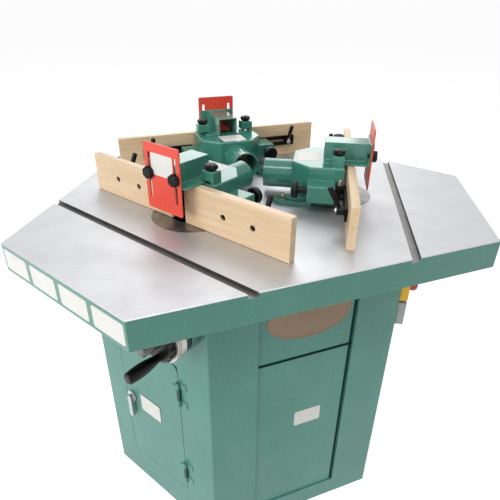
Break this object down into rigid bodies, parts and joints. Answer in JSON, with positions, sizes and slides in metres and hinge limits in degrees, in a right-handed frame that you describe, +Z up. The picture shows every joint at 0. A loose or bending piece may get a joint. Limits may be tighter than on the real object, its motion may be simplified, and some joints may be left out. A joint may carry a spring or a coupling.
{
  "type": "three-station spindle moulder",
  "caption": "Hexagonal cast table on a sheet cabinet, with spindle shaper stations round it, each with a split wooden fence, sliding guard, dust port, lift crank and stop button.",
  "frame": {"origin": "on the floor, on the upright axis that the three stations share", "axes": "+Z up; -Y out of the long side that faces the viewer between the left and right stations; +X to that viewer's right"},
  "size_m": [1.2402, 1.074, 1.075],
  "materials": {
    "machine_paint": "satin paint",
    "casting_paint": "gloss paint",
    "ground_iron": "ground",
    "dark_iron": "turned",
    "bright_steel": "turned",
    "plated_steel": "zinc plated",
    "black_metal": "satin black",
    "black_plastic": "moulded",
    "chrome": "polished",
    "maple": "sanded",
    "guard_red": "gloss paint",
    "switch_yellow": "moulded",
    "stop_red": "moulded",
    "motor_grey": "satin paint"
  },
  "bodies": {
    "base": {"cabinet": "machine_paint", "cast_table": "ground_iron", "insert_rings": "dark_iron", "control_boxes": "switch_yellow", "lift_guides": "dark_iron", "hold_down_bolts": "plated_steel", "crank_bearings": "bright_steel"},
    "rear_fence": {"rear_fence_housing": "casting_paint", "rear_hood_knobs": "black_plastic"},
    "rear_hood": {"rear_guard_hood": "casting_paint", "rear_guard_knobs": "black_plastic"},
    "rear_guard": {"rear_guard_plate": "guard_red"},
    "rear_outfeed_slider": {"rear_outfeed_slide": "black_metal"},
    "rear_outfeed_face": {"rear_outfeed_board": "maple"},
    "rear_outfeed_handle": {"rear_outfeed_lever": "black_plastic"},
    "rear_outfeed_dial": {"rear_outfeed_adjuster": "black_plastic"},
    "rear_infeed_slider": {"rear_infeed_slide": "black_metal"},
    "rear_infeed_face": {"rear_infeed_board": "maple"},
    "rear_infeed_handle": {"rear_infeed_lever": "black_plastic"},
    "rear_infeed_dial": {"rear_infeed_adjuster": "black_plastic"},
    "rear_lift": {"rear_spindle_lift": "motor_grey"},
    "rear_arbor": {"rear_spindle": "bright_steel"},
    "rear_crank_handle": {"rear_crank": "black_plastic"},
    "rear_stop": {"rear_stop_button": "stop_red"},
    "left_fence": {"left_fence_housing": "casting_paint", "left_hood_knobs": "black_plastic"},
    "left_hood": {"left_guard_hood": "casting_paint", "left_guard_knobs": "black_plastic"},
    "left_guard": {"left_guard_plate": "guard_red"},
    "left_outfeed_slider": {"left_outfeed_slide": "black_metal"},
    "left_outfeed_face": {"left_outfeed_board": "maple"},
    "left_outfeed_handle": {"left_outfeed_lever": "black_plastic"},
    "left_outfeed_dial": {"left_outfeed_adjuster": "black_plastic"},
    "left_infeed_slider": {"left_infeed_slide": "black_metal"},
    "left_infeed_face": {"left_infeed_board": "maple"},
    "left_infeed_handle": {"left_infeed_lever": "black_plastic"},
    "left_infeed_dial": {"left_infeed_adjuster": "black_plastic"},
    "left_lift": {"left_spindle_lift": "motor_grey"},
    "left_arbor": {"left_spindle": "bright_steel"},
    "left_crank_handle": {"left_crank": "black_plastic"},
    "left_stop": {"left_stop_button": "stop_red"},
    "right_fence": {"right_fence_housing": "casting_paint", "right_hood_knobs": "black_plastic"},
    "right_hood": {"right_guard_hood": "casting_paint", "right_guard_knobs": "black_plastic"},
    "right_guard": {"right_guard_plate": "guard_red"},
    "right_outfeed_slider": {"right_outfeed_slide": "black_metal"},
    "right_outfeed_face": {"right_outfeed_board": "maple"},
    "right_outfeed_handle": {"right_outfeed_lever": "black_plastic"},
    "right_outfeed_dial": {"right_outfeed_adjuster": "black_plastic"},
    "right_infeed_slider": {"right_infeed_slide": "black_metal"},
    "right_infeed_face": {"right_infeed_board": "maple"},
    "right_infeed_handle": {"right_infeed_lever": "black_plastic"},
    "right_infeed_dial": {"right_infeed_adjuster": "black_plastic"},
    "right_lift": {"right_spindle_lift": "motor_grey"},
    "right_arbor": {"right_spindle": "bright_steel"},
    "right_crank_handle": {"right_crank": "black_plastic"},
    "right_stop": {"right_stop_button": "stop_red"},
    "door": {"cabinet_door": "machine_paint"},
    "latch": {"door_latch": "chrome"}
  },
  "joints": [
    {"name": "rear_fence_slide", "type": "slide", "parent": "base", "child": "rear_fence", "axis": [0, 1, 0], "range_m": [-0.008, 0.008]},
    {"name": "rear_outfeed_adjust", "type": "slide", "parent": "rear_fence", "child": "rear_outfeed_slider", "axis": [0, 1, 0], "range_m": [-0.004, 0.012]},
    {"name": "rear_outfeed_dial_turn", "type": "hinge", "parent": "rear_fence", "child": "rear_outfeed_dial", "pos_m": [0.114, 0.14, 0.934], "axis": [0, 1, 0], "range_deg": [-2160.01, 720.01]},
    {"name": "rear_outfeed_face_shift", "type": "slide", "parent": "rear_outfeed_slider", "child": "rear_outfeed_face", "axis": [1, 0, 0], "range_m": [-0.004, 0.012]},
    {"name": "rear_outfeed_clamp", "type": "hinge", "parent": "rear_outfeed_face", "child": "rear_outfeed_handle", "pos_m": [0.222, 0.238, 0.934], "axis": [0, 1, 0], "range_deg": [-20, 75]},
    {"name": "rear_infeed_adjust", "type": "slide", "parent": "rear_fence", "child": "rear_infeed_slider", "axis": [0, 1, 0], "range_m": [-0.004, 0.012]},
    {"name": "rear_infeed_dial_turn", "type": "hinge", "parent": "rear_fence", "child": "rear_infeed_dial", "pos_m": [-0.114, 0.14, 0.934], "axis": [0, 1, 0], "range_deg": [-2160.01, 720.01]},
    {"name": "rear_infeed_face_shift", "type": "slide", "parent": "rear_infeed_slider", "child": "rear_infeed_face", "axis": [-1, 0, 0], "range_m": [-0.004, 0.012]},
    {"name": "rear_infeed_clamp", "type": "hinge", "parent": "rear_infeed_face", "child": "rear_infeed_handle", "pos_m": [-0.222, 0.238, 0.934], "axis": [0, 1, 0], "range_deg": [-75, 20]},
    {"name": "rear_hood_slide", "type": "slide", "parent": "rear_fence", "child": "rear_hood", "axis": [0, 1, 0], "range_m": [-0.02, 0.015]},
    {"name": "rear_guard_height", "type": "slide", "parent": "rear_hood", "child": "rear_guard", "axis": [0, 0, 1], "range_m": [-0.035, 0.05]},
    {"name": "rear_spindle_height", "type": "slide", "parent": "base", "child": "rear_lift", "axis": [0, 0, 1], "range_m": [-0.063, 0.02]},
    {"name": "rear_crank_turn", "type": "hinge", "parent": "base", "child": "rear_crank_handle", "pos_m": [-0.13716, 0.44, 0.727], "axis": [0, -1, 0], "range_deg": [-5670.01, 1800.01]},
    {"name": "rear_spindle_spin", "type": "hinge", "parent": "rear_lift", "child": "rear_arbor", "pos_m": [0, 0.223, 0.885], "axis": [0, 0, 1], "continuous": true},
    {"name": "rear_stop_press", "type": "slide", "parent": "base", "child": "rear_stop", "axis": [0, -1, 0], "range_m": [0, 0.006], "stiffness_N_per_m": 800},
    {"name": "left_fence_slide", "type": "slide", "parent": "base", "child": "left_fence", "axis": [-0.866, -0.5, 0], "range_m": [-0.008, 0.008]},
    {"name": "left_outfeed_adjust", "type": "slide", "parent": "left_fence", "child": "left_outfeed_slider", "axis": [-0.866, -0.5, 0], "range_m": [-0.004, 0.012]},
    {"name": "left_outfeed_dial_turn", "type": "hinge", "parent": "left_fence", "child": "left_outfeed_dial", "pos_m": [-0.17824, 0.02873, 0.934], "axis": [-0.866, -0.5, 0], "range_deg": [-2160.01, 720.01]},
    {"name": "left_outfeed_face_shift", "type": "slide", "parent": "left_outfeed_slider", "child": "left_outfeed_face", "axis": [-0.5, 0.866, 0], "range_m": [-0.004, 0.012]},
    {"name": "left_outfeed_clamp", "type": "hinge", "parent": "left_outfeed_face", "child": "left_outfeed_handle", "pos_m": [-0.31711, 0.07326, 0.934], "axis": [-0.866, -0.5, 0], "range_deg": [-20, 75]},
    {"name": "left_infeed_adjust", "type": "slide", "parent": "left_fence", "child": "left_infeed_slider", "axis": [-0.866, -0.5, 0], "range_m": [-0.004, 0.012]},
    {"name": "left_infeed_dial_turn", "type": "hinge", "parent": "left_fence", "child": "left_infeed_dial", "pos_m": [-0.06424, -0.16873, 0.934], "axis": [-0.866, -0.5, 0], "range_deg": [-2160.01, 720.01]},
    {"name": "left_infeed_face_shift", "type": "slide", "parent": "left_infeed_slider", "child": "left_infeed_face", "axis": [0.5, -0.866, 0], "range_m": [-0.004, 0.012]},
    {"name": "left_infeed_clamp", "type": "hinge", "parent": "left_infeed_face", "child": "left_infeed_handle", "pos_m": [-0.09511, -0.31126, 0.934], "axis": [-0.866, -0.5, 0], "range_deg": [-75, 20]},
    {"name": "left_hood_slide", "type": "slide", "parent": "left_fence", "child": "left_hood", "axis": [-0.866, -0.5, 0], "range_m": [-0.02, 0.015]},
    {"name": "left_guard_height", "type": "slide", "parent": "left_hood", "child": "left_guard", "axis": [0, 0, 1], "range_m": [-0.035, 0.05]},
    {"name": "left_spindle_height", "type": "slide", "parent": "base", "child": "left_lift", "axis": [0, 0, 1], "range_m": [-0.063, 0.02]},
    {"name": "left_crank_turn", "type": "hinge", "parent": "base", "child": "left_crank_handle", "pos_m": [-0.31247, -0.33878, 0.727], "axis": [0.866, 0.5, 0], "range_deg": [-5670.01, 1800.01]},
    {"name": "left_spindle_spin", "type": "hinge", "parent": "left_lift", "child": "left_arbor", "pos_m": [-0.19312, -0.1115, 0.885], "axis": [0, 0, 1], "continuous": true},
    {"name": "left_stop_press", "type": "slide", "parent": "base", "child": "left_stop", "axis": [0.866, 0.5, 0], "range_m": [0, 0.006], "stiffness_N_per_m": 800},
    {"name": "right_fence_slide", "type": "slide", "parent": "base", "child": "right_fence", "axis": [0.866, -0.5, 0], "range_m": [-0.008, 0.008]},
    {"name": "right_outfeed_adjust", "type": "slide", "parent": "right_fence", "child": "right_outfeed_slider", "axis": [0.866, -0.5, 0], "range_m": [-0.004, 0.012]},
    {"name": "right_outfeed_dial_turn", "type": "hinge", "parent": "right_fence", "child": "right_outfeed_dial", "pos_m": [0.06424, -0.16873, 0.934], "axis": [0.866, -0.5, 0], "range_deg": [-2160.01, 720.01]},
    {"name": "right_outfeed_face_shift", "type": "slide", "parent": "right_outfeed_slider", "child": "right_outfeed_face", "axis": [-0.5, -0.866, 0], "range_m": [-0.004, 0.012]},
    {"name": "right_outfeed_clamp", "type": "hinge", "parent": "right_outfeed_face", "child": "right_outfeed_handle", "pos_m": [0.09511, -0.31126, 0.934], "axis": [0.866, -0.5, 0], "range_deg": [-20, 75]},
    {"name": "right_infeed_adjust", "type": "slide", "parent": "right_fence", "child": "right_infeed_slider", "axis": [0.866, -0.5, 0], "range_m": [-0.004, 0.012]},
    {"name": "right_infeed_dial_turn", "type": "hinge", "parent": "right_fence", "child": "right_infeed_dial", "pos_m": [0.17824, 0.02873, 0.934], "axis": [0.866, -0.5, 0], "range_deg": [-2160.01, 720.01]},
    {"name": "right_infeed_face_shift", "type": "slide", "parent": "right_infeed_slider", "child": "right_infeed_face", "axis": [0.5, 0.866, 0], "range_m": [-0.004, 0.012]},
    {"name": "right_infeed_clamp", "type": "hinge", "parent": "right_infeed_face", "child": "right_infeed_handle", "pos_m": [0.31711, 0.07326, 0.934], "axis": [0.866, -0.5, 0], "range_deg": [-75, 20]},
    {"name": "right_hood_slide", "type": "slide", "parent": "right_fence", "child": "right_hood", "axis": [0.866, -0.5, 0], "range_m": [-0.02, 0.015]},
    {"name": "right_guard_height", "type": "slide", "parent": "right_hood", "child": "right_guard", "axis": [0, 0, 1], "range_m": [-0.035, 0.05]},
    {"name": "right_spindle_height", "type": "slide", "parent": "base", "child": "right_lift", "axis": [0, 0, 1], "range_m": [-0.063, 0.02]},
    {"name": "right_crank_turn", "type": "hinge", "parent": "base", "child": "right_crank_handle", "pos_m": [0.44963, -0.10122, 0.727], "axis": [-0.866, 0.5, 0], "range_deg": [-5670.01, 1800.01]},
    {"name": "right_spindle_spin", "type": "hinge", "parent": "right_lift", "child": "right_arbor", "pos_m": [0.19312, -0.1115, 0.885], "axis": [0, 0, 1], "continuous": true},
    {"name": "right_stop_press", "type": "slide", "parent": "base", "child": "right_stop", "axis": [-0.866, 0.5, 0], "range_m": [0, 0.006], "stiffness_N_per_m": 800},
    {"name": "door_swing", "type": "hinge", "parent": "base", "child": "door", "pos_m": [-0.30161, -0.2996, 0.3465], "axis": [0, 0, 1], "range_deg": [0, 110]},
    {"name": "latch_turn", "type": "hinge", "parent": "door", "child": "latch", "pos_m": [-0.40068, -0.11799, 0.352], "axis": [-0.866, -0.5, 0], "range_deg": [0, 90]}
  ],
  "couplings": [
    {"joint": "rear_outfeed_dial_turn", "follows": "rear_outfeed_adjust", "rad_per_m": -3141.6},
    {"joint": "rear_infeed_dial_turn", "follows": "rear_infeed_adjust", "rad_per_m": -3141.6},
    {"joint": "rear_crank_turn", "follows": "rear_spindle_height", "rad_per_m": 1570.8},
    {"joint": "left_outfeed_dial_turn", "follows": "left_outfeed_adjust", "rad_per_m": -3141.6},
    {"joint": "left_infeed_dial_turn", "follows": "left_infeed_adjust", "rad_per_m": -3141.6},
    {"joint": "left_crank_turn", "follows": "left_spindle_height", "rad_per_m": 1570.8},
    {"joint": "right_outfeed_dial_turn", "follows": "right_outfeed_adjust", "rad_per_m": -3141.6},
    {"joint": "right_infeed_dial_turn", "follows": "right_infeed_adjust", "rad_per_m": -3141.6},
    {"joint": "right_crank_turn", "follows": "right_spindle_height", "rad_per_m": 1570.8}
  ]
}
